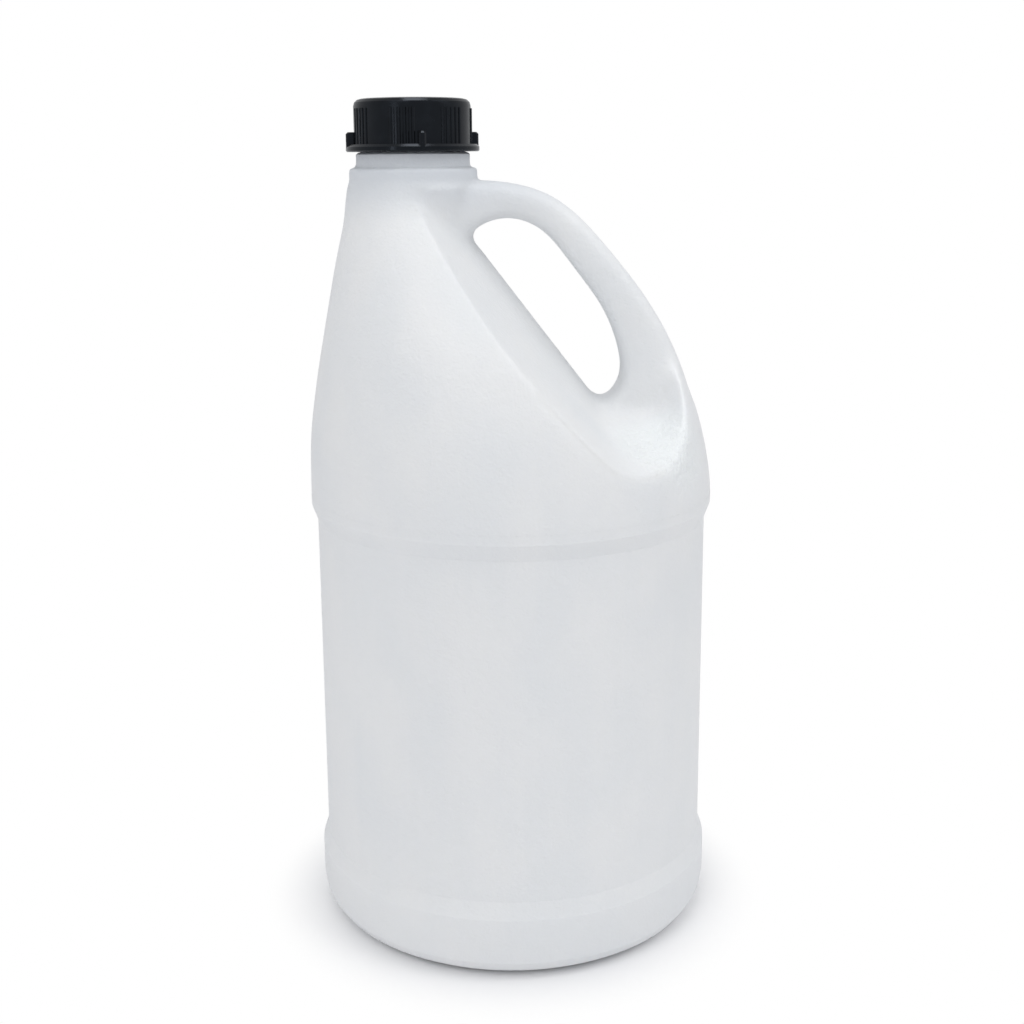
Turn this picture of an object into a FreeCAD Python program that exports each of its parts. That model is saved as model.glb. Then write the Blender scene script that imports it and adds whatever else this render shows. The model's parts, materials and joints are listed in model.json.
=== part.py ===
"""One-gallon blow-moulded HDPE jug with a through handle and a black screw cap.

Frame: millimetres, +Z up. The origin is the centre of the foot, on the surface that the jug stands on.
The handle lies in the XZ plane: the handle is on +X and the neck leans over to -X.
Nodes: jug (one blow-moulded shell), cap (one injection moulding) and cap_liner (a punched foam disc).
"""
import FreeCAD
import Part
import math
import os

# ---------------------------------------------------------------- driving sizes
WALL = 1.2                # blown wall of the body and of the hollow handle

PANEL_RADIUS = 75.0       # recessed label panel
RING_RADIUS = 77.2        # shoulder ring and base ring, which stand proud and guard the label
BASE_RING_TOP = 25.2
PANEL_BOTTOM = 31.4
PANEL_TOP = 158.5
SHOULDER_RING_BOTTOM = 164.5
DOME_BOTTOM = 170.0       # the shoulder leaves the ring here
FOOT_CORNER = 12.5        # outside radius from the side of the base ring to the foot
FOOT_RING = 2.6           # width of the flat ring that the jug stands on
PUSH_UP = 5.0             # height of the hollow under the base
PUSH_UP_RADIUS = 55.0     # radius of the level middle of the push-up

NECK_X = -35.6            # axis of the neck, off the axis of the body
NECK_ROOT_RADIUS = 25.6
COLLAR_RADIUS = 23.9
COLLAR_BOTTOM = 284.0
COLLAR_TOP = 289.9
BEAD_RADIUS = 21.2        # plain bead between the collar and the thread
BEAD_TOP = 295.4
THREAD_ROOT = 19.0
NECK_BORE = 17.2
NECK_LIP = 311.8

CAP_BOTTOM = 295.8
CAP_TOP = 314.8
CAP_SKIRT_RADIUS = 21.7
CAP_BORE = 20.7
CAP_TOP_WALL = 1.9
CAP_EDGE = 2.6
CAP_EDGE_BANDS = 3
FLANGE_RADIUS = 24.8
FLANGE_TOP = 298.4
FLANGE_BEVEL = 0.9
RIB_GROUPS = 7
RIBS_PER_GROUP = 5
RIB_STEP = 5.5            # degrees between the ribs of a group
RIB_WIDTH = 1.25
RIB_HEIGHT = 0.45
RIB_TOP = 311.3
RIB_PHASE = -96.5         # degrees from +X to the middle of the first group
LUGS = 4
LUG_PHASE = -77.9         # degrees from +X to the first lug
LUG_WIDTH = 2.7
LUG_TOP = 302.9
LUG_CORNER = 0.7

LINER_RADIUS = 20.3
LINER_THICKNESS = 1.0

NECK_ROOT_BOTTOM = 264.0
NECK_ROOT_LOW_RADIUS = 21.0

HANDLE_HALF_DEPTH = 13.0
HANDLE_EDGE = 5.4         # rounding of the long edges of the handle

# Straight bands that stand for each round: outside, and more coarsely in the cavity
OUTSIDE = {"shoulder": 18, "foot": 4, "left_corner": 14, "right_corner": 6, "handle_edge": 4}
CAVITY = {"shoulder": 18, "foot": 2, "left_corner": 14, "right_corner": 6, "handle_edge": 2}
CAVITY_HANDLE_CHORDS = 24  # straight pieces along each long curve of the handle's cavity

# The shoulder: height, distance of the section's centre from the body axis, and its radius.
# The left side stays almost straight, and the front swells out before it runs into the neck.
SHOULDER_SECTIONS = (
    (DOME_BOTTOM, 0.0, RING_RADIUS),
    (178.0, -0.4, 76.7),
    (190.0, -1.35, 75.3),
    (202.0, -2.4, 72.8),
    (214.0, -4.1, 69.2),
    (226.0, -6.6, 64.5),
    (238.0, -11.6, 57.2),
    (250.0, -18.2, 48.3),
    (262.0, -25.1, 38.8),
    (272.0, -31.5, 30.2),
    (280.0, NECK_X, 25.8),
    (283.0, NECK_X, NECK_ROOT_RADIUS),
    (COLLAR_BOTTOM + 0.5, NECK_X, 24.5),
)

VEC = FreeCAD.Vector
UP = VEC(0, 0, 1)


# ---------------------------------------------------------------- small helpers
def line(start, end):
    """A straight edge between two points."""
    return Part.LineSegment(start, end).toShape()


def quarter(centre, radius, start, end, bands):
    """Points (a, b) along a circle from the angle start to the angle end, in degrees."""
    angles = [math.radians(start + (end - start) * k / bands) for k in range(bands + 1)]
    return [(centre[0] + radius * math.cos(t), centre[1] + radius * math.sin(t)) for t in angles]


def turned(edges, axis_x=0.0):
    """Closes a half profile on the upright axis at axis_x and turns it into a solid."""
    face = Part.Face(Part.Wire(edges))
    return face.revolve(VEC(axis_x, 0, 0), UP, 360)


def profile_points(points, axis_x=0.0):
    """Straight edges through (radius, height) pairs, closed back to the first."""
    corners = [VEC(axis_x + r, 0, z) for r, z in points]
    return [line(a, b) for a, b in zip(corners, corners[1:] + corners[:1])]


def circle_wire(centre_x, radius, height):
    """A level circle as a wire."""
    return Part.Wire([Part.makeCircle(radius, VEC(centre_x, 0, height))])


# ---------------------------------------------------------------- jug
def lower_body(inset, bands):
    """Base with its push-up, base ring, label panel and shoulder ring, set in by the wall for the cavity."""
    ring = RING_RADIUS - inset
    panel = PANEL_RADIUS - inset
    foot_x = RING_RADIUS - FOOT_CORNER
    points = [(0, PUSH_UP + inset), (PUSH_UP_RADIUS, PUSH_UP + inset), (foot_x - FOOT_RING, inset)]
    points += quarter((foot_x, FOOT_CORNER), FOOT_CORNER - inset, -90, 0, bands["foot"])
    points += [(ring, BASE_RING_TOP), (panel, PANEL_BOTTOM), (panel, PANEL_TOP),
               (ring, SHOULDER_RING_BOTTOM), (ring, DOME_BOTTOM), (0, DOME_BOTTOM)]
    return turned(profile_points(points))


def shoulder(inset, bands):
    """The shoulder before the handle pockets: level circles along one smooth lean, joined by straight bands."""
    lean = Part.BSplineCurve()
    lean.interpolate([VEC(x, radius - inset, z) for z, x, radius in SHOULDER_SECTIONS])
    first, last = lean.FirstParameter, lean.LastParameter
    levels = [lean.value(first + (last - first) * k / bands) for k in range(bands + 1)]
    return Part.makeLoft([circle_wire(p.x, p.y, p.z) for p in levels], True, True)


# A pocket's outline in the handle plane, and at POCKET_REACH towards the side. Each is a left flank
# through two points, a bottom at one height and a right flank at one distance, with two round corners.
POCKET_REACH = 80.0
POCKET_CEILING = 300.0
POCKET_INNER = {
    "flank": ((-40.6, 299.2), (29.4, 207.3)),
    "bottom": 203.5,
    "right": 58.5,
    "left_corner": 7.0,
    "right_corner": 12.0,
}
POCKET_OUTER = {
    "flank": ((-60.3, 284.3), (20.8, 200.9)),
    "bottom": 175.3,
    "right": 74.5,
    "left_corner": 38.0,
    "right_corner": 12.0,
}


def pocket_outline(shape, y, inset, bands):
    """One closed outline of a pocket at depth y, grown by inset on its three working sides."""
    (ax, az), (bx, bz) = shape["flank"]
    length = math.hypot(bx - ax, bz - az)
    ux, uz = (bx - ax) / length, (bz - az) / length
    nx, nz = -uz, ux
    ax -= nx * inset
    az -= nz * inset
    bottom = shape["bottom"] - inset
    right = shape["right"] + inset
    left_r = shape["left_corner"] + inset
    right_r = shape["right_corner"] + inset
    # left corner: its centre is left_r above the bottom and left_r inside the flank
    centre_z = bottom + left_r
    centre_x = ax + (left_r - (centre_z - az) * nz) / nx
    flank_angle = math.degrees(math.atan2(-nz, -nx))
    outline = [(ax + ux * (POCKET_CEILING - az) / uz, POCKET_CEILING)]
    outline += quarter((centre_x, centre_z), left_r, flank_angle, -90, bands["left_corner"])
    outline += quarter((right - right_r, bottom + right_r), right_r, -90, 0, bands["right_corner"])
    outline.append((right, POCKET_CEILING))
    corners = [VEC(x, y, z) for x, z in outline]
    return Part.makePolygon(corners + corners[:1])


def pockets(inset, bands):
    """The two drafted hollows beside the handle, which meet in the handle plane and leave the hole."""
    front = Part.makeLoft([pocket_outline(POCKET_INNER, 0.0, inset, bands),
                           pocket_outline(POCKET_OUTER, -POCKET_REACH, inset, bands)], True, True)
    back = front.mirror(VEC(0, 0, 0), VEC(0, 1, 0))
    return front, back


# The handle in its own plane: the outer edge from the collar down into the shoulder, and the edge of the
# finger hole from the neck round to the bottom of the hole.
HANDLE_OUTER = ((-24.0, 284.0), (-2.0, 284.5), (16.0, 279.2), (36.0, 261.2), (53.4, 238.5), (63.4, 220.0),
                (68.2, 206.0), (69.0, 190.0))
HANDLE_INNER = ((-19.0, 259.0), (-11.4, 268.2), (-1.5, 271.4), (10.4, 268.1), (23.0, 254.6), (35.9, 236.3),
                (41.4, 222.5), (41.9, 209.5), (37.2, 203.2), (27.0, 203.8))
HANDLE_FOOT = (30.0, 185.0)


def moved_in(points, inset):
    """Points of an outline, each moved by inset to the right of the outline's own direction."""
    result = []
    for k, (x, z) in enumerate(points):
        before = points[max(k - 1, 0)]
        after = points[min(k + 1, len(points) - 1)]
        dx, dz = after[0] - before[0], after[1] - before[1]
        length = math.hypot(dx, dz)
        result.append((x + inset * dz / length, z - inset * dx / length))
    return result


def curve(points, y, chords):
    """Edges of a smooth curve through (x, z) points in the plane at y, or of that many chords of it."""
    spline = Part.BSplineCurve()
    spline.interpolate([VEC(x, y, z) for x, z in points])
    if not chords:
        return [spline.toShape()]
    first, last = spline.FirstParameter, spline.LastParameter
    stops = [spline.value(first + (last - first) * k / chords) for k in range(chords + 1)]
    return [line(a, b) for a, b in zip(stops, stops[1:])]


def handle_outline(y, inset, chords):
    """The closed outline of the handle and its root at depth y, set in all round but at the buried ends."""
    outer_points = moved_in(HANDLE_OUTER, inset)
    inner_points = moved_in(HANDLE_INNER[::-1], inset)
    head_high, foot_right = [VEC(x, y, z) for x, z in (outer_points[0], outer_points[-1])]
    foot_left, head_low = [VEC(x, y, z) for x, z in (inner_points[0], inner_points[-1])]
    foot_low = VEC(HANDLE_FOOT[0], y, HANDLE_FOOT[1])
    edges = curve(outer_points, y, chords) + [line(foot_right, foot_low), line(foot_low, foot_left)]
    edges += curve(inner_points, y, chords) + [line(head_low, head_high)]
    return Part.Wire(edges)


def handle(inset, bands):
    """The handle and its root as one bar, whose long edges turn in towards both faces in bands."""
    depth = HANDLE_HALF_DEPTH - inset
    edge = HANDLE_EDGE - inset
    turn = quarter((depth - edge, edge), edge, -90, 0, bands["handle_edge"])
    levels = [(-y, taken) for y, taken in turn[::-1]] + turn
    chords = CAVITY_HANDLE_CHORDS if inset else 0
    return Part.makeLoft([handle_outline(y, inset + taken, chords) for y, taken in levels], True, True)


def neck_root(inset):
    """The cone under the collar, which the shoulder, the pockets and the handle run into."""
    radius = NECK_ROOT_RADIUS - inset
    low = NECK_ROOT_LOW_RADIUS - inset
    wide = COLLAR_BOTTOM - 1.3
    top = COLLAR_BOTTOM + 0.3
    points = [(0, NECK_ROOT_BOTTOM), (low, NECK_ROOT_BOTTOM), (radius - 0.3, wide), (radius - 1.4, top), (0, top)]
    return turned(profile_points(points, NECK_X), NECK_X)


def blown_form(inset, bands):
    """The form of the shell below the collar: its outside, or with the wall as inset its cavity."""
    front, back = pockets(inset, bands)
    pocketed = shoulder(inset, bands["shoulder"]).cut(front).cut(back)
    return lower_body(inset, bands).fuse([pocketed, neck_root(inset), handle(inset, bands)])


def neck():
    """Collar, bead and plain finish of the neck, before the thread and the bore."""
    points = [
        (0, COLLAR_BOTTOM - 6.0), (COLLAR_RADIUS - 2.0, COLLAR_BOTTOM - 6.0), (COLLAR_RADIUS, COLLAR_BOTTOM - 2.0),
        (COLLAR_RADIUS, COLLAR_TOP - 0.6), (COLLAR_RADIUS - 0.6, COLLAR_TOP), (BEAD_RADIUS, COLLAR_TOP),
        (BEAD_RADIUS, BEAD_TOP - 0.6), (BEAD_RADIUS - 0.7, BEAD_TOP), (THREAD_ROOT, BEAD_TOP + 0.4),
        (THREAD_ROOT, NECK_LIP - 0.8), (THREAD_ROOT - 0.8, NECK_LIP), (0, NECK_LIP),
    ]
    return turned(profile_points(points, NECK_X), NECK_X)


def neck_bore():
    """The mouth: a straight bore that opens out under the collar into the body."""
    low = COLLAR_BOTTOM - 4.0
    wide = COLLAR_RADIUS - 1.6
    points = [(0, low), (wide, low), (wide, COLLAR_TOP - 2.6), (NECK_BORE, COLLAR_TOP + 2.0), (NECK_BORE, NECK_LIP),
              (0, NECK_LIP)]
    return turned(profile_points(points, NECK_X), NECK_X)


def jug():
    """The one-piece shell: outside, less the cavity and the bore."""
    outside = blown_form(0.0, OUTSIDE).fuse(neck())
    return outside.cut(blown_form(WALL, CAVITY)).cut(neck_bore()).removeSplitter()


# ---------------------------------------------------------------- cap
def cap():
    """The screw cap: plain skirt, rounded top edge, ribs in groups, flange with lugs, and the bore."""
    points = [
        (0, CAP_BOTTOM), (FLANGE_RADIUS - 0.4, CAP_BOTTOM), (FLANGE_RADIUS, CAP_BOTTOM + 0.4),
        (FLANGE_RADIUS, FLANGE_TOP - FLANGE_BEVEL), (FLANGE_RADIUS - FLANGE_BEVEL, FLANGE_TOP),
        (CAP_SKIRT_RADIUS, FLANGE_TOP),
    ]
    edge_centre = (CAP_SKIRT_RADIUS - CAP_EDGE, CAP_TOP - CAP_EDGE)
    points += quarter(edge_centre, CAP_EDGE, 0, 90, CAP_EDGE_BANDS)
    points.append((0, CAP_TOP))
    body = turned(profile_points(points, NECK_X), NECK_X)
    roof = CAP_TOP - CAP_TOP_WALL
    hollow = Part.makeCylinder(CAP_BORE, roof - CAP_BOTTOM, VEC(NECK_X, 0, CAP_BOTTOM))
    return body.fuse(cap_ribs() + cap_lugs()).cut(hollow).removeSplitter()


def about_neck(shape, degrees):
    """A copy of a shape made at +X of the neck axis, turned about that axis."""
    copy = shape.copy()
    copy.rotate(VEC(NECK_X, 0, 0), UP, degrees)
    return copy


def upright(width, out, bottom, top, corner):
    """A bar of the cap's outside at +X: its outline seen from above, with both outer corners taken off."""
    buried = CAP_SKIRT_RADIUS - 0.8
    half = width / 2
    outline = [(buried, -half), (out - corner, -half), (out, corner - half), (out, half - corner),
               (out - corner, half), (buried, half)]
    corners = [VEC(NECK_X + r, y, bottom) for r, y in outline]
    return Part.Face(Part.makePolygon(corners + corners[:1])).extrude(VEC(0, 0, top - bottom))


def cap_ribs():
    """Upright grip ribs in equal groups, with plain panels between the groups."""
    rib = upright(RIB_WIDTH, CAP_SKIRT_RADIUS + RIB_HEIGHT, FLANGE_TOP - 0.5, RIB_TOP, RIB_HEIGHT * 0.7)
    ribs = []
    for group in range(RIB_GROUPS):
        middle = RIB_PHASE + group * 360.0 / RIB_GROUPS
        for k in range(RIBS_PER_GROUP):
            ribs.append(about_neck(rib, middle + (k - (RIBS_PER_GROUP - 1) / 2) * RIB_STEP))
    return ribs


def cap_lugs():
    """Upright lugs on the flange, flush with its rim, each with its outer corners taken off."""
    lug = upright(LUG_WIDTH, FLANGE_RADIUS, FLANGE_TOP - 1.5, LUG_TOP, LUG_CORNER)
    rim = NECK_X + FLANGE_RADIUS
    top_edge = [e for e in lug.Edges if e.CenterOfMass.z > LUG_TOP - 0.01 and e.CenterOfMass.x > rim - LUG_CORNER]
    lug = lug.makeChamfer(LUG_CORNER, top_edge)
    return [about_neck(lug, LUG_PHASE + k * 360.0 / LUGS) for k in range(LUGS)]


def cap_liner():
    """The sealing disc inside the top of the cap."""
    top = CAP_TOP - CAP_TOP_WALL
    return Part.makeCylinder(LINER_RADIUS, LINER_THICKNESS, VEC(NECK_X, 0, top - LINER_THICKNESS))


NODES = {"jug": jug, "cap": cap, "cap_liner": cap_liner}


def main():
    """Builds every node and writes it to its own STEP file."""
    os.makedirs("parts", exist_ok=True)
    for name, build in NODES.items():
        shape = build()
        shape.exportStep("parts/" + name + ".step")
        print(name, "valid", shape.isValid(), "solids", len(shape.Solids), "faces", len(shape.Faces),
              "volume_cm3", round(shape.Volume / 1000, 2))


if __name__ == "__main__":
    main()
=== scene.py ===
"""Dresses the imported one-gallon HDPE jug and its black screw cap for a studio picture.

The jug's shell starts from a merged copy of its CAD solid: its shoulder, handle and collar are meshed
again and softened as blown plastic is, and the neck gets its thread. The cap is a merged copy with its own
thread, and the sealing disc keeps its CAD mesh. All lengths are metres in the frame of the model, with +Z
up, the handle on +X and the surface that the jug stands on at z = 0.
"""

import json
import logging
import math
from dataclasses import dataclass
from enum import Enum

import bmesh
import bpy
import numpy as np
from mathutils import Matrix, Vector
from mathutils.kdtree import KDTree

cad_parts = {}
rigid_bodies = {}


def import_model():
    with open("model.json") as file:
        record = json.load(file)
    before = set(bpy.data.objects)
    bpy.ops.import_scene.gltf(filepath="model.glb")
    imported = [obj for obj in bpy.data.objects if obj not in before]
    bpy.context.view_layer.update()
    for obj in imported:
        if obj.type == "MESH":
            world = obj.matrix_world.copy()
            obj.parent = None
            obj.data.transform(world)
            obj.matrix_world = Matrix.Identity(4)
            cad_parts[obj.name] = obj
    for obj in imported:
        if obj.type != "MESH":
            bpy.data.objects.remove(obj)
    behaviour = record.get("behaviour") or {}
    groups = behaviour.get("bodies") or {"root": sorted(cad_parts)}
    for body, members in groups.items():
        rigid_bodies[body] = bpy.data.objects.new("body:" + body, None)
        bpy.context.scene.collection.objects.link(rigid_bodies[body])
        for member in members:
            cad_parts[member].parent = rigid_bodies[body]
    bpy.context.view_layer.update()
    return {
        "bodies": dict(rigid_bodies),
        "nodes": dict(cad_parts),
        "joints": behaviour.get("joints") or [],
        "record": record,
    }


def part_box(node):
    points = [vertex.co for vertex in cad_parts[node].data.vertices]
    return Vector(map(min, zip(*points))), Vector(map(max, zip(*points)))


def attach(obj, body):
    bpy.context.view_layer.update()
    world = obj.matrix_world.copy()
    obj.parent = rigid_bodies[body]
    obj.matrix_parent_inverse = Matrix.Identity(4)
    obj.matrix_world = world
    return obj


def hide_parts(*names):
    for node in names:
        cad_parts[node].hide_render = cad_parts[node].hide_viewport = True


MM = 0.001
MERGE_DISTANCE = 0.002 * MM
logging.basicConfig(level=logging.INFO, format="%(message)s")
LOG = logging.getLogger("jug")


# ---------------------------------------------------------------- colours and nodes
def linear(hex_colour: str) -> tuple[float, float, float, float]:
    """Turns an sRGB hex colour into linear light.

    Args:
        hex_colour: Six hex digits after a hash sign.

    Returns:
        Red, green, blue and full opacity.
    """
    channels = [int(hex_colour[k:k + 2], 16) / 255 for k in (1, 3, 5)]
    made = [c / 12.92 if c <= 0.04045 else ((c + 0.055) / 1.055) ** 2.4 for c in channels]
    return made[0], made[1], made[2], 1.0


def add_node(tree: bpy.types.NodeTree, kind: str, settings: dict | None = None,
             inputs: dict | None = None) -> bpy.types.Node:
    """Adds a node with its settings and its linked or constant inputs.

    Args:
        tree: Node tree that gets the node.
        kind: The node's type name.
        settings: Attributes to set on the node.
        inputs: Socket name or index to an output socket to link, or to a constant.

    Returns:
        The new node.
    """
    node = tree.nodes.new(kind)
    for name, value in (settings or {}).items():
        setattr(node, name, value)
    for name, value in (inputs or {}).items():
        if isinstance(value, bpy.types.NodeSocket):
            tree.links.new(value, node.inputs[name])
        else:
            node.inputs[name].default_value = value
    return node


@dataclass(frozen=True)
class Cloud:
    """Cloudy noise: the size of its blobs, its finer layers and their strength, and how far it is drawn."""

    size_mm: float
    layers: float
    roughness: float = 0.5
    stretch: tuple[float, float, float] = (1, 1, 1)


@dataclass(frozen=True)
class Relief:
    """How deep a pattern stands in a surface in millimetres, and how much of it shows."""

    depth_mm: float
    strength: bpy.types.NodeSocket | float


class Pattern:
    """Builds the small networks that the finishes share, in one material's node tree."""

    def __init__(self, tree: bpy.types.NodeTree) -> None:
        """Starts from the place of each point on its piece.

        Args:
            tree: The material's node tree.
        """
        self.tree = tree
        coordinates = add_node(tree, "ShaderNodeTexCoord")
        self.place = coordinates.outputs["Object"]
        split = add_node(tree, "ShaderNodeSeparateXYZ", inputs={0: self.place})
        self.x, self.y, self.z = split.outputs

    def math(self, operation: str, *values: bpy.types.NodeSocket | float) -> bpy.types.NodeSocket:
        """A math node's result for one to three sockets or numbers."""
        node = add_node(self.tree, "ShaderNodeMath", {"operation": operation}, dict(enumerate(values)))
        return node.outputs[0]

    def ramp(self, value: bpy.types.NodeSocket, low: float, high: float, out_low: float = 0.0,
             out_high: float = 1.0) -> bpy.types.NodeSocket:
        """A smooth step of a value from out_low at low to out_high at high."""
        node = add_node(self.tree, "ShaderNodeMapRange", {"interpolation_type": "SMOOTHSTEP"}, {
            "Value": value, "From Min": low, "From Max": high, "To Min": out_low, "To Max": out_high})
        return node.outputs["Result"]

    def noise(self, cloud: Cloud) -> bpy.types.NodeSocket:
        """Draws a cloudy noise.

        Args:
            cloud: Its size, layers and stretch.

        Returns:
            The noise, between 0 and 1.
        """
        scale = tuple(1.0 / s for s in cloud.stretch)
        moved = add_node(self.tree, "ShaderNodeMapping", inputs={"Vector": self.place, "Scale": scale})
        node = add_node(self.tree, "ShaderNodeTexNoise", inputs={
            "Vector": moved.outputs[0], "Scale": 1 / (cloud.size_mm * MM), "Detail": cloud.layers,
            "Roughness": cloud.roughness})
        return node.outputs["Fac"]

    def bump(self, height: bpy.types.NodeSocket, relief: Relief,
             before: bpy.types.NodeSocket | None = None) -> bpy.types.NodeSocket:
        """Bumps the surface by a pattern.

        Args:
            height: The pattern, between 0 and 1.
            relief: The depth that the pattern stands for, and how much of it shows.
            before: The bumped direction to add to.

        Returns:
            The bumped direction.
        """
        inputs = {"Height": height, "Distance": relief.depth_mm * MM, "Strength": relief.strength}
        if before is not None:
            inputs["Normal"] = before
        return add_node(self.tree, "ShaderNodeBump", inputs=inputs).outputs["Normal"]

    def mix(self, factor: bpy.types.NodeSocket, first: bpy.types.NodeSocket | tuple,
            second: tuple) -> bpy.types.NodeSocket:
        """A colour between two colours, which are the node's inputs 6 and 7."""
        node = add_node(self.tree, "ShaderNodeMix", {"data_type": "RGBA"}, {0: factor, 6: first, 7: second})
        return node.outputs[2]


def new_material(name: str) -> tuple[bpy.types.Material, bpy.types.Node]:
    """Makes an empty node material.

    Args:
        name: The material's name.

    Returns:
        The material and its output node.
    """
    material = bpy.data.materials.new(name)
    material.use_nodes = True
    material.node_tree.nodes.clear()
    return material, add_node(material.node_tree, "ShaderNodeOutputMaterial")


# ---------------------------------------------------------------- finishes
@dataclass(frozen=True)
class NaturalHdpe:
    """Natural high-density polyethylene, extrusion blow moulded in a grit-blasted mould.

    The eye sees a cool milky white that lets light through, a satin skin with a fine leathery grain, slow
    waves where the parison was pulled out, faint upright die lines, and the thin weld line where the mould
    halves met. The neck is painted greyer, a painted shade for the light that the black cap keeps out of it.
    The wall beside the handle's root, pulled thin in the mould, shines more and is painted paler, a painted
    glow for the light that comes through it.
    """

    name: str = "natural HDPE, blow moulded in a blasted mould"
    milk: str = "#E6E7E8"
    thin: str = "#E2E4E6"
    shaded: str = "#CFD3D8"
    # painted glow: the paler colour of the thin wall beside the handle's root, for the light that comes
    # through it
    painted_glow: str = "#E9ECED"
    shaded_from: float = 268 * MM
    shaded_to: float = 291 * MM
    thin_wall_glow_spot: tuple[float, float, float] = (0.055, 0.035, 0.189)
    thin_wall_glow_reach: float = 24 * MM
    full_share: float = 0.4  # the share of a reach over which a spot or a line is at its full strength
    roughness_low: float = 0.45
    roughness_high: float = 0.57
    shine: float = 0.14
    ior: float = 1.54
    scatter_share: float = 0.45
    scatter_mm: float = 1.6
    scatter_tint: tuple[float, float, float] = (1.0, 1.0, 1.05)
    waves: Cloud = Cloud(26.0, 1.0, stretch=(1, 1, 1.6))
    die_lines: Cloud = Cloud(3.0, 1.0, stretch=(1, 1, 60))  # coarser than the real lines, so that they show
    leather: Cloud = Cloud(2.6, 3.0, 0.65)
    grain: Cloud = Cloud(1.0, 2.0, 0.6)  # coarser than the real grit, which is too fine to show
    grain_band: tuple[float, float] = (0.2, 0.8)
    grain_share: float = 0.6
    pebble_share: float = 0.5
    pebble_softness: float = 0.6
    die_share: float = 0.12
    tint_band: tuple[float, float] = (0.3, 0.7)
    weld_mm: float = 0.35
    wave_relief: Relief = Relief(0.25, 0.2)
    die_relief: Relief = Relief(0.05, 0.2)
    leather_relief: Relief = Relief(1.1, 0.2)  # the strength away from the thin-walled spot with its painted glow, where it is 1
    grain_relief: Relief = Relief(0.25, 0.5)
    weld_relief: Relief = Relief(0.12, 0.6)

    def from_spot(self, draw: Pattern) -> bpy.types.NodeSocket:
        """How far a point is from the thin-walled spot with its painted glow, on its own side of the mould's
        parting.

        Args:
            draw: The material's pattern builder.

        Returns:
            The distance in metres.
        """
        spot_x, spot_y, spot_z = self.thin_wall_glow_spot
        across = draw.math("SUBTRACT", draw.x, spot_x)
        deep = draw.math("SUBTRACT", draw.math("ABSOLUTE", draw.y), spot_y)
        high = draw.math("SUBTRACT", draw.z, spot_z)
        squares = draw.math("ADD", draw.math("MULTIPLY", across, across), draw.math("MULTIPLY", deep, deep))
        return draw.math("SQRT", draw.math("MULTIPLY_ADD", high, high, squares))

    def build(self) -> bpy.types.Material:
        """Makes the material.

        Returns:
            The blown polyethylene.
        """
        material, output = new_material(self.name)
        tree = material.node_tree
        draw = Pattern(tree)
        waves = draw.noise(self.waves)
        die_lines = draw.noise(self.die_lines)
        grain = draw.noise(self.grain)
        pebble = add_node(tree, "ShaderNodeTexVoronoi", {"feature": "SMOOTH_F1"}, {
            "Vector": draw.place, "Scale": 1 / (self.grain.size_mm * MM), "Smoothness": self.pebble_softness})
        blasted = draw.math("ADD", draw.math("MULTIPLY", grain, self.grain_share),
                            draw.math("MULTIPLY", pebble.outputs["Distance"], self.pebble_share))
        leather = draw.noise(self.leather)
        weld_half = self.weld_mm * MM
        weld = draw.ramp(draw.math("ABSOLUTE", draw.y), weld_half * self.full_share, weld_half, 1.0, 0.0)
        away = self.from_spot(draw)
        spot = (away, self.thin_wall_glow_reach * self.full_share, self.thin_wall_glow_reach, 1.0)
        bumped = draw.bump(waves, self.wave_relief)
        bumped = draw.bump(die_lines, self.die_relief, bumped)
        leather_relief = Relief(self.leather_relief.depth_mm, draw.ramp(*spot, self.leather_relief.strength))
        bumped = draw.bump(leather, leather_relief, bumped)
        bumped = draw.bump(blasted, self.grain_relief, bumped)
        bumped = draw.bump(weld, self.weld_relief, bumped)
        streaks = draw.math("MULTIPLY_ADD", die_lines, self.die_share,
                            draw.math("MULTIPLY", waves, 1 - self.die_share))
        colour = draw.mix(draw.ramp(streaks, *self.tint_band), linear(self.milk), linear(self.thin))
        colour = draw.mix(draw.ramp(draw.z, self.shaded_from, self.shaded_to), colour, linear(self.shaded))
        # painted glow: the thin wall beside the handle's root is painted paler for the light that comes
        # through it; the same spot is also made less rough
        thin_wall_glow = draw.ramp(*spot, 0.0)
        colour = draw.mix(thin_wall_glow, colour, linear(self.painted_glow))
        satin = draw.ramp(grain, *self.grain_band, self.roughness_low, self.roughness_high)
        satin = draw.math("MULTIPLY_ADD", thin_wall_glow, -self.shine, satin)
        shader = add_node(tree, "ShaderNodeBsdfPrincipled", inputs={
            "Base Color": colour, "Roughness": satin, "IOR": self.ior,
            "Subsurface Weight": self.scatter_share, "Subsurface Scale": self.scatter_mm * MM,
            "Subsurface Radius": self.scatter_tint, "Normal": bumped})
        tree.links.new(shader.outputs[0], output.inputs["Surface"])
        return material


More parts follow.
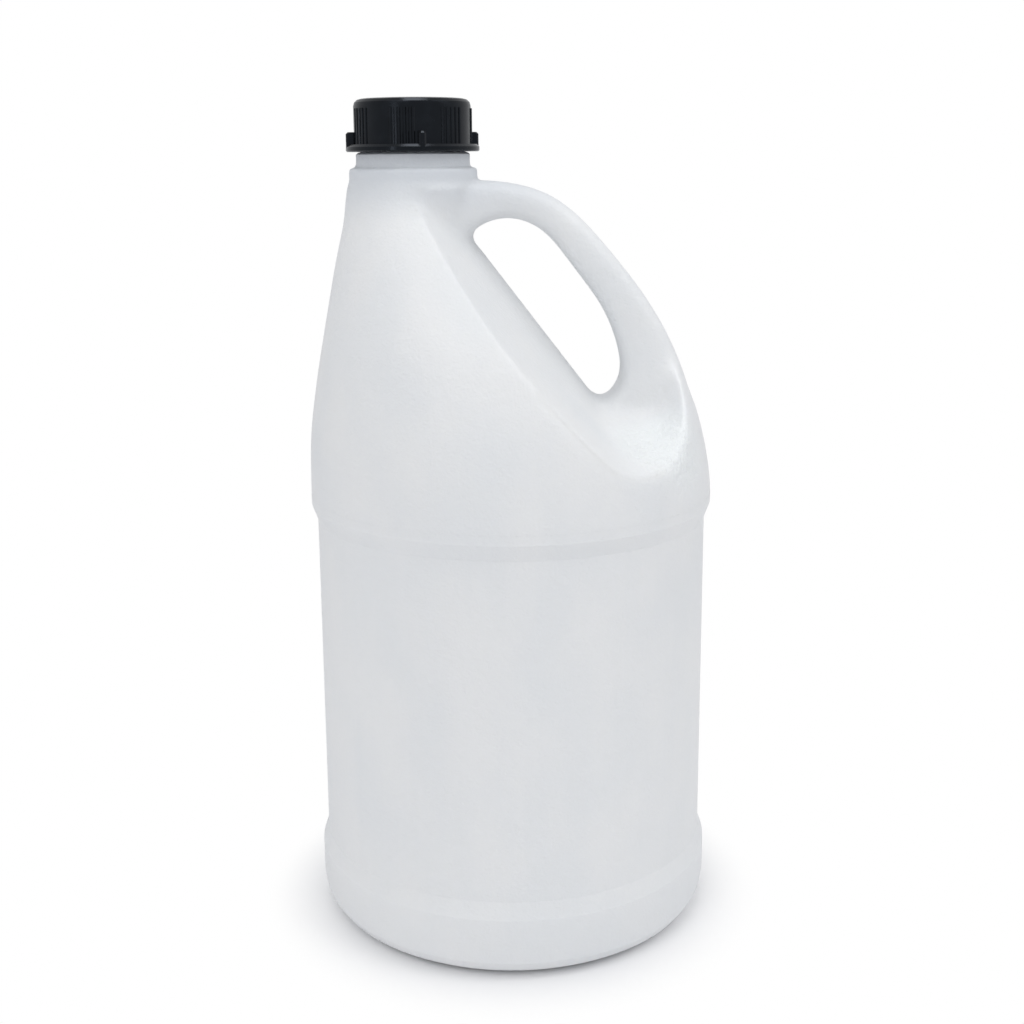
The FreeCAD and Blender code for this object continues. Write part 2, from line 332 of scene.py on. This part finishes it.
@dataclass(frozen=True)
class BlackPolypropylene:
    """Carbon-black polypropylene, injection moulded in a lightly textured tool.

    The eye sees a deep neutral black with a satin sheen, cool grey where an edge turns to the light.
    """

    name: str = "black polypropylene, injection moulded"
    black: str = "#08090A"
    scuffed: str = "#0D0F11"
    roughness_low: float = 0.15
    roughness_high: float = 0.3
    ior: float = 1.49
    gloss: float = 0.26
    sheen: str = "#DCEAFF"
    clouds: Cloud = Cloud(6.0, 3.0)
    scuff_band: tuple[float, float] = (0.4, 0.75)
    dull_band: tuple[float, float] = (0.3, 0.8)
    grain: Cloud = Cloud(0.5, 2.0)  # coarser than the tool's real texture, which is too fine to show
    grain_relief: Relief = Relief(0.05, 0.25)

    def build(self) -> bpy.types.Material:
        """Makes the material.

        Returns:
            The black polypropylene.
        """
        material, output = new_material(self.name)
        tree = material.node_tree
        draw = Pattern(tree)
        clouds = draw.noise(self.clouds)
        colour = draw.mix(draw.ramp(clouds, *self.scuff_band), linear(self.black), linear(self.scuffed))
        satin = draw.ramp(clouds, *self.dull_band, self.roughness_low, self.roughness_high)
        bumped = draw.bump(draw.noise(self.grain), self.grain_relief)
        shader = add_node(tree, "ShaderNodeBsdfPrincipled", inputs={
            "Base Color": colour, "Roughness": satin, "IOR": self.ior, "Specular IOR Level": self.gloss,
            "Specular Tint": linear(self.sheen), "Normal": bumped})
        tree.links.new(shader.outputs[0], output.inputs["Surface"])
        return material


@dataclass(frozen=True)
class PolyethyleneFoam:
    """White polyethylene foam sheet, punched to a disc: matt, with fine closed cells."""

    name: str = "white polyethylene foam, punched"
    white: str = "#E9E9E4"
    shade: str = "#DADAD3"
    roughness: float = 0.7
    cell_mm: float = 0.5
    cell_relief: Relief = Relief(0.1, 0.5)

    def build(self) -> bpy.types.Material:
        """Makes the material.

        Returns:
            The foam.
        """
        material, output = new_material(self.name)
        tree = material.node_tree
        draw = Pattern(tree)
        cells = add_node(tree, "ShaderNodeTexVoronoi", inputs={
            "Vector": draw.place, "Scale": 1 / (self.cell_mm * MM)})
        distance = cells.outputs["Distance"]
        shader = add_node(tree, "ShaderNodeBsdfPrincipled", inputs={
            "Base Color": draw.mix(distance, linear(self.white), linear(self.shade)),
            "Roughness": self.roughness, "Normal": draw.bump(distance, self.cell_relief)})
        tree.links.new(shader.outputs[0], output.inputs["Surface"])
        return material


# ---------------------------------------------------------------- helpers for meshes
def select_only(piece: bpy.types.Object) -> None:
    """Deselects everything, then selects one object and makes it active.

    Args:
        piece: The object.
    """
    bpy.ops.object.select_all(action="DESELECT")
    piece.select_set(True)
    bpy.context.view_layer.objects.active = piece


def merged_copy(node: bpy.types.Object, name: str) -> bpy.types.Object:
    """Copies a CAD node's mesh into a new object and joins its loose triangles.

    Args:
        node: The CAD node's object.
        name: Name of the copy.

    Returns:
        The copy, at the origin, with one vertex where the triangles meet.
    """
    mesh = node.data.copy()
    mesh.name = name
    mesh.materials.clear()
    piece = bpy.data.objects.new(name, mesh)
    bpy.context.scene.collection.objects.link(piece)
    select_only(piece)
    bpy.ops.mesh.customdata_custom_splitnormals_clear()
    bpy.ops.object.mode_set(mode="EDIT")
    bpy.ops.mesh.select_all(action="SELECT")
    bpy.ops.mesh.remove_doubles(threshold=MERGE_DISTANCE)
    bpy.ops.object.mode_set(mode="OBJECT")
    return piece


def neck_axis() -> float:
    """Where the neck's axis stands: the middle of the cap's sealing disc, along X."""
    low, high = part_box("cap_liner")
    return (low[0] + high[0]) / 2


def dress(piece: bpy.types.Object, material: bpy.types.Material) -> None:
    """Gives every face of a piece one material."""
    piece.data.materials.clear()
    piece.data.materials.append(material)


def points_of(mesh: bpy.types.Mesh) -> np.ndarray:
    """Reads the points of a mesh.

    Args:
        mesh: The mesh.

    Returns:
        Its points, one per row.
    """
    place = np.empty(len(mesh.vertices) * 3)
    mesh.vertices.foreach_get("co", place)
    return place.reshape(-1, 3)


def move_points(mesh: bpy.types.Mesh, place: np.ndarray) -> np.ndarray:
    """Moves the points of a mesh and finds which way is out of the material at each.

    Args:
        mesh: The mesh.
        place: Its new points, one per row.

    Returns:
        A unit direction for each point.
    """
    mesh.vertices.foreach_set("co", place.ravel())
    mesh.update()
    out = np.empty(len(place) * 3)
    mesh.vertices.foreach_get("normal", out)
    return out.reshape(-1, 3)


def eased(share: np.ndarray) -> np.ndarray:
    """A share from 0 to 1 that sets off and arrives gently."""
    return share * share * (3 - 2 * share)


# ---------------------------------------------------------------- the jug
@dataclass(frozen=True)
class Thread:
    """A right-hand screw thread: a ridge wound about the neck from its buried root to its crest."""

    root: float
    crest: float
    start: float
    root_width: float
    crest_width: float = 0.9 * MM
    pitch: float = 4.2 * MM
    turns: float = 1.25
    steps: int = 150
    overrun: float = 0.12  # how far past either end the ridge still stands, as a share of its rise
    run_out: float = 0.1  # the share of its rise in which it drops to nothing there

    def build(self, axis_x: float) -> bpy.types.Object:
        """Winds the ridge with a screw, with both ends run out to nothing.

        Args:
            axis_x: Where the neck's axis stands.

        Returns:
            The ridge as a closed mesh.
        """
        rise = self.pitch * self.turns
        half_root, half_crest = self.root_width / 2, self.crest_width / 2
        outline = [(self.root, -half_root), (self.crest, -half_crest), (self.crest, half_crest),
                   (self.root, half_root)]
        mesh = bpy.data.meshes.new("thread_ridge")
        mesh.from_pydata([(r, 0, z) for r, z in outline], [(0, 1), (1, 2), (2, 3), (3, 0)], [])
        piece = bpy.data.objects.new("thread_ridge", mesh)
        bpy.context.scene.collection.objects.link(piece)
        select_only(piece)
        winding = piece.modifiers.new("winding", "SCREW")
        winding.angle = math.radians(360 * self.turns)
        winding.screw_offset = rise
        winding.steps = winding.render_steps = self.steps
        winding.use_normal_calculate = True
        bpy.ops.object.modifier_apply(modifier="winding")
        for vertex in mesh.vertices:
            x, y, z = vertex.co
            height = z / rise
            from_end = min(height + self.overrun, 1 + self.overrun - height)
            left = min(max(from_end / self.run_out, 0.0), 1.0)
            radius = math.hypot(x, y)
            shorter = (self.root + (radius - self.root) * left) / radius
            vertex.co = (x * shorter, y * shorter, z)
        bpy.ops.object.mode_set(mode="EDIT")
        bpy.ops.mesh.select_all(action="DESELECT")
        bpy.ops.mesh.select_non_manifold()
        bpy.ops.mesh.edge_face_add()
        bpy.ops.mesh.select_all(action="SELECT")
        bpy.ops.mesh.normals_make_consistent(inside=False)
        bpy.ops.object.mode_set(mode="OBJECT")
        piece.location = (axis_x, 0, self.start)
        bpy.ops.object.transform_apply(location=True, rotation=False, scale=False)
        return piece


@dataclass
class JugShell:
    """The blown shell, worked up from the CAD jug.

    The outside from the shoulder up to the bead of the neck is meshed again in fine even cells and relaxed:
    the upper creases and the collar keep a tight round, the lower creases and the valleys beside the handle
    get a wide one, and the bands between them run smooth. Below it the turned body keeps its CAD faces with
    the steps rounded, and above it the CAD neck stays. The inside stays too, set back beside the handle's
    root, where the outside is rounded most.
    """

    node: str = "jug"
    body: str = "bottle"
    slot: str = "natural_hdpe"
    thread: Thread = Thread(root=18.9 * MM, crest=20.2 * MM, start=301.4 * MM, root_width=2.4 * MM)
    smooth_angle: float = 32.0

    # the heights between which the skin is meshed again, and its cells
    cell: float = 1.05 * MM
    low_cut: float = 168 * MM
    overlap: float = 6 * MM
    high_cut: float = 294.7 * MM
    trim: float = 1.0 * MM
    lip_height: float = 311.0 * MM

    # what counts as a crease or a valley, in degrees, and between which heights
    worked_low: float = 176 * MM
    worked_high: float = 283 * MM
    valley_angle: float = 22.0
    crease_angle: float = 28.0
    mark_spacing: float = 0.6 * MM

    # how far from a line the relaxing reaches, and the heights where it fades
    valley_reach: float = 8.0 * MM
    crease_reach: float = 3.4 * MM
    crease_core: float = 0.8 * MM
    sharp_above: float = 236 * MM
    soft_below: float = 212 * MM
    collar_bottom: float = 285.2 * MM
    collar_fade: float = 1.2 * MM
    still_above: float = 293.4 * MM
    still_fade: float = 1.5 * MM

    # how long each part is relaxed: a point goes this share of its way in a step
    pace: float = 0.5
    even_steps: int = 10
    crease_steps: int = 3
    valley_steps: int = 40
    collar_steps: int = 3

    # the bowl beside the handle's root: its middle line, and the step where each stage of its rounding ends
    root_high: tuple[float, float, float] = (0.0605, 0.0145, 0.217)
    root_low: tuple[float, float, float] = (0.0625, 0.041, 0.189)
    root_reach: float = 18 * MM
    blend_steps: int = 40
    fill_steps: int = 150
    root_steps: int = 176
    steps_per_look: int = 10
    set_back: float = 3.0 * MM

    # the rounded steps of both rings
    step_round: float = 1.3 * MM
    step_segments: int = 4
    step_angle: float = 12.0
    flat_angle: float = 8.0

    def outer_faces(self, form: bmesh.types.BMesh) -> set[bmesh.types.BMFace]:
        """Collects the faces of the outside, from the lowest face up to the lip of the neck.

        Args:
            form: The shell's mesh.

        Returns:
            The faces that are outside the shell.
        """
        start = min(form.faces, key=lambda face: face.calc_center_median().z)
        found, edge_of_search = {start}, [start]
        while edge_of_search:
            face = edge_of_search.pop()
            for edge in face.edges:
                for other in edge.link_faces:
                    if other not in found and other.calc_center_median().z < self.lip_height:
                        found.add(other)
                        edge_of_search.append(other)
        return found

    def marked_lines(self, outside: set[bmesh.types.BMFace]) -> tuple[KDTree, KDTree]:
        """Finds the creases and the valleys of the worked height, as points along their edges.

        Args:
            outside: The faces outside the shell.

        Returns:
            The crease points and the valley points. A low crease counts as a valley too, and so gets a
            wide round.
        """
        creases, valleys = [], []
        for edge in {e for face in outside for e in face.edges}:
            if len(edge.link_faces) != 2:
                continue
            ends = [vertex.co for vertex in edge.verts]
            turn = math.degrees(edge.calc_face_angle(0))
            if not self.worked_low < (ends[0].z + ends[1].z) / 2 < self.worked_high:
                continue
            if edge.is_convex and turn > self.crease_angle:
                found = creases
            elif not edge.is_convex and turn > self.valley_angle:
                found = valleys
            else:
                continue
            count = max(1, int((ends[1] - ends[0]).length / self.mark_spacing))
            points = [ends[0].lerp(ends[1], k / count) for k in range(count + 1)]
            found += points
            if found is creases:
                valleys += [point for point in points if point.z < self.soft_below]
        trees = []
        for points in (creases, valleys):
            tree = KDTree(len(points))
            for k, point in enumerate(points):
                tree.insert(point, k)
            tree.balance()
            trees.append(tree)
        return trees[0], trees[1]

    def part_of(self, source: bpy.types.Object, name: str, keep: set[int]) -> bpy.types.Object:
        """Copies some of an object's faces into a new object.

        Args:
            source: The merged copy of the shell.
            name: Name of the new object.
            keep: Indices of the faces to keep.

        Returns:
            The new object.
        """
        form = bmesh.new()
        form.from_mesh(source.data)
        form.faces.ensure_lookup_table()
        dropped = [face for face in form.faces if face.index not in keep]
        bmesh.ops.delete(form, geom=dropped, context="FACES")
        mesh = bpy.data.meshes.new(name)
        form.to_mesh(mesh)
        form.free()
        piece = bpy.data.objects.new(name, mesh)
        bpy.context.scene.collection.objects.link(piece)
        return piece

    def cut_off(self, piece: bpy.types.Object, height: float, below: bool, fill: bool) -> None:
        """Cuts a piece level and drops one side of the cut.

        Args:
            piece: The piece.
            height: Height of the cut.
            below: Whether the side below the cut is dropped, and not the one above it.
            fill: Whether the cut is closed with a face.
        """
        select_only(piece)
        bpy.ops.object.mode_set(mode="EDIT")
        bpy.ops.mesh.select_all(action="SELECT")
        bpy.ops.mesh.bisect(plane_co=(0, 0, height), plane_no=(0, 0, 1), use_fill=fill, clear_inner=below,
                            clear_outer=not below)
        bpy.ops.object.mode_set(mode="OBJECT")

    def relax(self, piece: bpy.types.Object, creases: KDTree, valleys: KDTree) -> None:
        """Runs the bands smooth, with tight rounds on creases and collar and wide ones in the valleys.

        Beside the handle's root the ridge is blended in first. Then only the hollows are worked, along the
        way out of the wall, until they are a shallow bowl, and a few last steps round its rim.

        Args:
            piece: The evenly meshed skin.
            creases: Points along the creases.
            valleys: Points along the valleys.
        """
        mesh = piece.data
        place = points_of(mesh)
        count = len(place)
        ends = np.empty(len(mesh.edges) * 2, dtype=np.int32)
        mesh.edges.foreach_get("vertices", ends)
        ends = ends.reshape(-1, 2)
        neighbours = np.bincount(ends.ravel(), minlength=count)[:, None]
        to_crease = np.array([creases.find(point)[2] for point in place])
        to_valley = np.array([valleys.find(point)[2] for point in place])
        height = place[:, 2].copy()
        crease_band = self.crease_reach - self.crease_core
        off_crease = eased(np.clip((to_crease - self.crease_core) / crease_band, 0, 1))
        softer = np.clip((self.sharp_above - height) / (self.sharp_above - self.soft_below), 0, 1)
        off_crease = np.maximum(off_crease, softer)
        off_collar = np.clip((self.collar_bottom - height) / self.collar_fade, 0, 1)
        in_valley = eased(np.clip(1 - to_valley / self.valley_reach, 0, 1))
        moving = np.clip((self.still_above - height) / self.still_fade, 0, 1)
        at_root = self.at_root(place)
        for step in range(self.root_steps):
            if step % self.steps_per_look == 0:
                out = move_points(mesh, place)
            weight = in_valley if step < self.valley_steps else np.zeros(count)
            if step < self.even_steps:
                weight = np.maximum(weight, off_crease)
            if step < self.crease_steps:
                weight = np.ones(count)
            if step >= self.collar_steps:
                weight = weight * off_collar
            around = np.zeros_like(place)
            for axis in range(3):
                values = place[:, axis]
                around[:, axis] = (np.bincount(ends[:, 0], values[ends[:, 1]], count)
                                   + np.bincount(ends[:, 1], values[ends[:, 0]], count))
            pull = around / neighbours - place
            if self.blend_steps <= step < self.fill_steps:
                pull = out * np.clip((pull * out).sum(axis=1), 0, None)[:, None]
            place += pull * (self.pace * np.maximum(weight, at_root) * moving)[:, None]
        move_points(mesh, place)

    def keep_wall(self, mesh: bpy.types.Mesh) -> None:
        """Sets the inside back where the outside is rounded most, so that a wall stays between them.

        Args:
            mesh: The inside of the jug.
        """
        place = points_of(mesh)
        into_cavity = move_points(mesh, place)
        move_points(mesh, place + into_cavity * (self.at_root(place) * self.set_back)[:, None])

    def at_root(self, place: np.ndarray) -> np.ndarray:
        """How near each point is to the bowl beside the handle's root, on either side of the jug.

        Args:
            place: Points, one per row.

        Returns:
            A weight for each point, from 0 to 1 at the bowl's middle line.
        """
        mirrored = place.copy()
        mirrored[:, 1] = np.abs(mirrored[:, 1])
        start, way = np.array(self.root_high), np.array(self.root_low) - np.array(self.root_high)
        along = np.clip((mirrored - start) @ way / (way @ way), 0, 1)
        away = np.linalg.norm(mirrored - start - along[:, None] * way, axis=1)
        return eased(np.clip(1 - away / self.root_reach, 0, 1))

    def skin(self, shell: bpy.types.Object, outside: set[int], creases: KDTree,
             valleys: KDTree) -> bpy.types.Object:
        """Makes the worked skin of the shoulder, the pockets, the handle and the collar.

        Args:
            shell: The merged copy of the CAD jug.
            outside: Indices of its outer faces.
            creases: Points along the creases.
            valleys: Points along the valleys.

        Returns:
            The skin, open where the turned body and the upper neck join it.
        """
        piece = self.part_of(shell, "worked_skin", outside)
        self.cut_off(piece, self.high_cut, below=False, fill=True)
        self.cut_off(piece, self.low_cut - self.overlap, below=True, fill=True)
        piece.data.remesh_voxel_size = self.cell
        piece.data.remesh_voxel_adaptivity = 0
        bpy.ops.object.voxel_remesh()
        self.relax(piece, creases, valleys)
        self.cut_off(piece, self.low_cut, below=True, fill=False)
        self.cut_off(piece, self.high_cut - self.trim, below=False, fill=False)
        return piece

    def upper_neck(self, shell: bpy.types.Object, outside: set[int]) -> bpy.types.Object:
        """Keeps the CAD faces of the neck above the worked skin.

        Args:
            shell: The merged copy of the CAD jug.
            outside: Indices of its outer faces.

        Returns:
            The outside of the upper neck.
        """
        piece = self.part_of(shell, "upper_neck", outside)
        self.cut_off(piece, self.high_cut - self.trim, below=True, fill=False)
        return piece

    def turned_body(self, shell: bpy.types.Object, outside: set[int]) -> bpy.types.Object:
        """Makes the body below the worked skin: the CAD faces with the steps of both rings rounded.

        Args:
            shell: The merged copy of the CAD jug.
            outside: Indices of its outer faces.

        Returns:
            The outside of the body.
        """
        piece = self.part_of(shell, "turned_body", outside)
        self.cut_off(piece, self.low_cut, below=False, fill=False)
        bpy.ops.object.mode_set(mode="EDIT")
        bpy.ops.mesh.select_all(action="SELECT")
        bpy.ops.mesh.tris_convert_to_quads(face_threshold=math.radians(self.flat_angle),
                                           shape_threshold=math.radians(180))
        bpy.ops.object.mode_set(mode="OBJECT")
        rounding = piece.modifiers.new("step_round", "BEVEL")
        rounding.width = self.step_round
        rounding.segments = self.step_segments
        rounding.limit_method = "ANGLE"
        rounding.angle_limit = math.radians(self.step_angle)
        bpy.ops.object.modifier_apply(modifier="step_round")
        return piece

    def build(self, frame: dict, finish: NaturalHdpe) -> bpy.types.Object:
        """Makes the shell and puts it on its body.

        Args:
            finish: The shell's plastic.

        Returns:
            The shell.
        """
        shell = merged_copy(frame["nodes"][self.node], "jug_shell")
        form = bmesh.new()
        form.from_mesh(shell.data)
        outer = self.outer_faces(form)
        creases, valleys = self.marked_lines(outer)
        outside = {face.index for face in outer}
        form.free()
        pieces = [self.skin(shell, outside, creases, valleys), self.turned_body(shell, outside),
                  self.upper_neck(shell, outside), self.thread.build(neck_axis())]
        inside = self.part_of(shell, "inside", set(range(len(shell.data.polygons))) - outside)
        self.keep_wall(inside.data)
        shell.data = inside.data
        bpy.data.objects.remove(inside)
        select_only(shell)
        for piece in pieces:
            piece.select_set(True)
        bpy.ops.object.join()
        bpy.ops.object.shade_smooth_by_angle(angle=math.radians(self.smooth_angle))
        dress(shell, finish.build())
        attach(shell, self.body)
        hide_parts(self.node)
        return shell


@dataclass
class ScrewCap:
    """The black cap: a merged copy of the CAD cap, smooth but for its sharp edges, with its thread."""

    node: str = "cap"
    body: str = "closure"
    slot: str = "black_pp"
    smooth_angle: float = 28.0
    thread: Thread = Thread(root=20.9 * MM, crest=19.5 * MM, start=299.3 * MM, root_width=2.3 * MM)

    def build(self, frame: dict, finish: BlackPolypropylene) -> bpy.types.Object:
        """Makes the cap and puts it on its body.

        Args:
            finish: The cap's plastic.

        Returns:
            The cap.
        """
        piece = merged_copy(frame["nodes"][self.node], "screw_cap")
        ridge = self.thread.build(neck_axis())
        select_only(piece)
        ridge.select_set(True)
        bpy.ops.object.join()
        bpy.ops.object.shade_smooth_by_angle(angle=math.radians(self.smooth_angle))
        dress(piece, finish.build())
        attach(piece, self.body)
        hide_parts(self.node)
        return piece


@dataclass
class SealingDisc:
    """The foam disc in the top of the cap, which keeps its CAD mesh."""

    node: str = "cap_liner"

    def build(self, frame: dict, finish: PolyethyleneFoam) -> bpy.types.Object:
        """Dresses the CAD disc.

        Args:
            finish: The disc's foam.

        Returns:
            The disc's CAD object.
        """
        piece = frame["nodes"][self.node]
        dress(piece, finish.build())
        return piece


# ---------------------------------------------------------------- the studio
class Side(Enum):
    """Where a soft box stands, seen by the camera."""

    LEFT = "left"
    FRONT = "front"
    RIGHT = "right"
    TOP = "top"


@dataclass(frozen=True)
class SoftBox:
    """One soft box: its place, its target, its size and its strength in watts."""

    side: Side
    place: tuple[float, float, float]
    target: tuple[float, float, float]
    width: float
    height: float
    power: float

    def build(self) -> None:
        """Puts the lamp in the scene, turned to its target."""
        data = bpy.data.lights.new("softbox_" + self.side.value, "AREA")
        data.shape = "RECTANGLE"
        data.size = self.width
        data.size_y = self.height
        data.energy = self.power
        lamp = bpy.data.objects.new(data.name, data)
        lamp.location = self.place
        away = Vector(self.target) - Vector(self.place)
        lamp.rotation_mode = "QUATERNION"
        lamp.rotation_quaternion = away.to_track_quat("-Z", "Y")
        bpy.context.scene.collection.objects.link(lamp)


@dataclass
class Studio:
    """Floor, world, soft boxes and camera."""

    floor_half: float = 3.0
    fade_from: float = 0.067
    fade_to: float = 0.102
    floor_colour: str = "#F4F4F5"
    world_level: float = 0.67
    light_colour: str = "#FCFDFF"
    backdrop_colour: str = "#FFFFFF"
    camera_place: tuple[float, float, float] = (0.0, -0.54216, 0.29253)
    look_down: float = 0.2093
    roll: float = -0.0070
    lens_mm: float = 50.0
    sensor_mm: float = 36.0
    shift: tuple[float, float] = (0.00129, -0.0488)
    clip: tuple[float, float] = (0.01, 20.0)
    boxes: tuple[SoftBox, ...] = (
        SoftBox(Side.LEFT, (-0.65, -1.05, 0.45), (0, 0, 0.2), 0.07, 0.6, 0.5),
        SoftBox(Side.FRONT, (-0.35, -0.8, 1.2), (0, 0, 0.2), 0.7, 0.7, 3.4),
        SoftBox(Side.RIGHT, (0.7, -0.35, 1.05), (0, 0, 0.2), 0.5, 0.5, 2.6),
        SoftBox(Side.TOP, (0.0, 0.08, 1.4), (0, 0, 0.1), 0.4, 0.4, 2.0),
    )

    def floor(self) -> None:
        """Makes the pale floor, which fades into the white backdrop and keeps the shadow near the jug."""
        bpy.ops.object.select_all(action="DESELECT")
        bpy.ops.mesh.primitive_plane_add(size=2 * self.floor_half, location=(0, 0, 0))
        floor = bpy.context.active_object
        floor.name = "studio_floor"
        material, output = new_material("white paper sweep")
        tree = material.node_tree
        draw = Pattern(tree)
        far = draw.math("SQRT", draw.math("ADD", draw.math("MULTIPLY", draw.x, draw.x),
                                          draw.math("MULTIPLY", draw.y, draw.y)))
        seen = add_node(tree, "ShaderNodeLightPath").outputs["Is Camera Ray"]
        fade = draw.math("MULTIPLY", draw.ramp(far, self.fade_from, self.fade_to), seen)
        paper = add_node(tree, "ShaderNodeBsdfDiffuse", inputs={"Color": linear(self.floor_colour)})
        white = add_node(tree, "ShaderNodeEmission", inputs={
            "Color": linear(self.backdrop_colour), "Strength": 1.0})
        both = add_node(tree, "ShaderNodeMixShader", inputs={
            0: fade, 1: paper.outputs[0], 2: white.outputs[0]})
        tree.links.new(both.outputs[0], output.inputs["Surface"])
        dress(floor, material)

    def world(self) -> None:
        """Sets an even pale surround that the camera sees as white, also through what is clear."""
        world = bpy.data.worlds.new("light_tent")
        world.use_nodes = True
        tree = world.node_tree
        tree.nodes.clear()
        output = add_node(tree, "ShaderNodeOutputWorld")
        path = add_node(tree, "ShaderNodeLightPath")
        seen = add_node(tree, "ShaderNodeMath", {"operation": "MAXIMUM"}, {
            0: path.outputs["Is Camera Ray"], 1: path.outputs["Is Transmission Ray"]}).outputs[0]
        light = add_node(tree, "ShaderNodeBackground", inputs={
            "Color": linear(self.light_colour), "Strength": self.world_level})
        backdrop = add_node(tree, "ShaderNodeBackground", inputs={
            "Color": linear(self.backdrop_colour), "Strength": 1.0})
        sky = add_node(tree, "ShaderNodeMixShader", inputs={
            0: seen, 1: light.outputs[0], 2: backdrop.outputs[0]})
        tree.links.new(sky.outputs[0], output.inputs["Surface"])
        bpy.context.scene.world = world

    def camera(self) -> None:
        """Sets the camera at the height of the shoulder, looking down a little."""
        data = bpy.data.cameras.new("view_camera")
        data.lens = self.lens_mm
        data.sensor_width = self.sensor_mm
        data.shift_x, data.shift_y = self.shift
        data.clip_start, data.clip_end = self.clip
        camera = bpy.data.objects.new("view_camera", data)
        tilt = Matrix.Rotation(math.pi / 2 - self.look_down, 4, "X")
        turn = Matrix.Rotation(self.roll, 4, "Z")
        camera.matrix_world = Matrix.Translation(self.camera_place) @ tilt @ turn
        bpy.context.scene.collection.objects.link(camera)
        bpy.context.scene.camera = camera

    def build(self) -> None:
        """Puts everything that isn't the jug in the scene."""
        self.floor()
        self.world()
        for box in self.boxes:
            box.build()
        self.camera()
        bpy.context.scene.view_settings.view_transform = "Standard"


def main() -> None:
    """Loads the frame, dresses the pieces, builds the studio and notes the sizes."""
    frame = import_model()
    for maker, finish in ((JugShell(), NaturalHdpe()), (ScrewCap(), BlackPolypropylene()),
                          (SealingDisc(), PolyethyleneFoam())):
        piece = maker.build(frame, finish)
        LOG.info("%s: %d faces of %s", piece.name, len(piece.data.polygons), finish.name)
    studio = Studio()
    studio.build()
    LOG.info("studio: floor, world, %d soft boxes and camera", len(studio.boxes))
    bpy.ops.object.select_all(action="DESELECT")


if __name__ == "__main__":
    main()
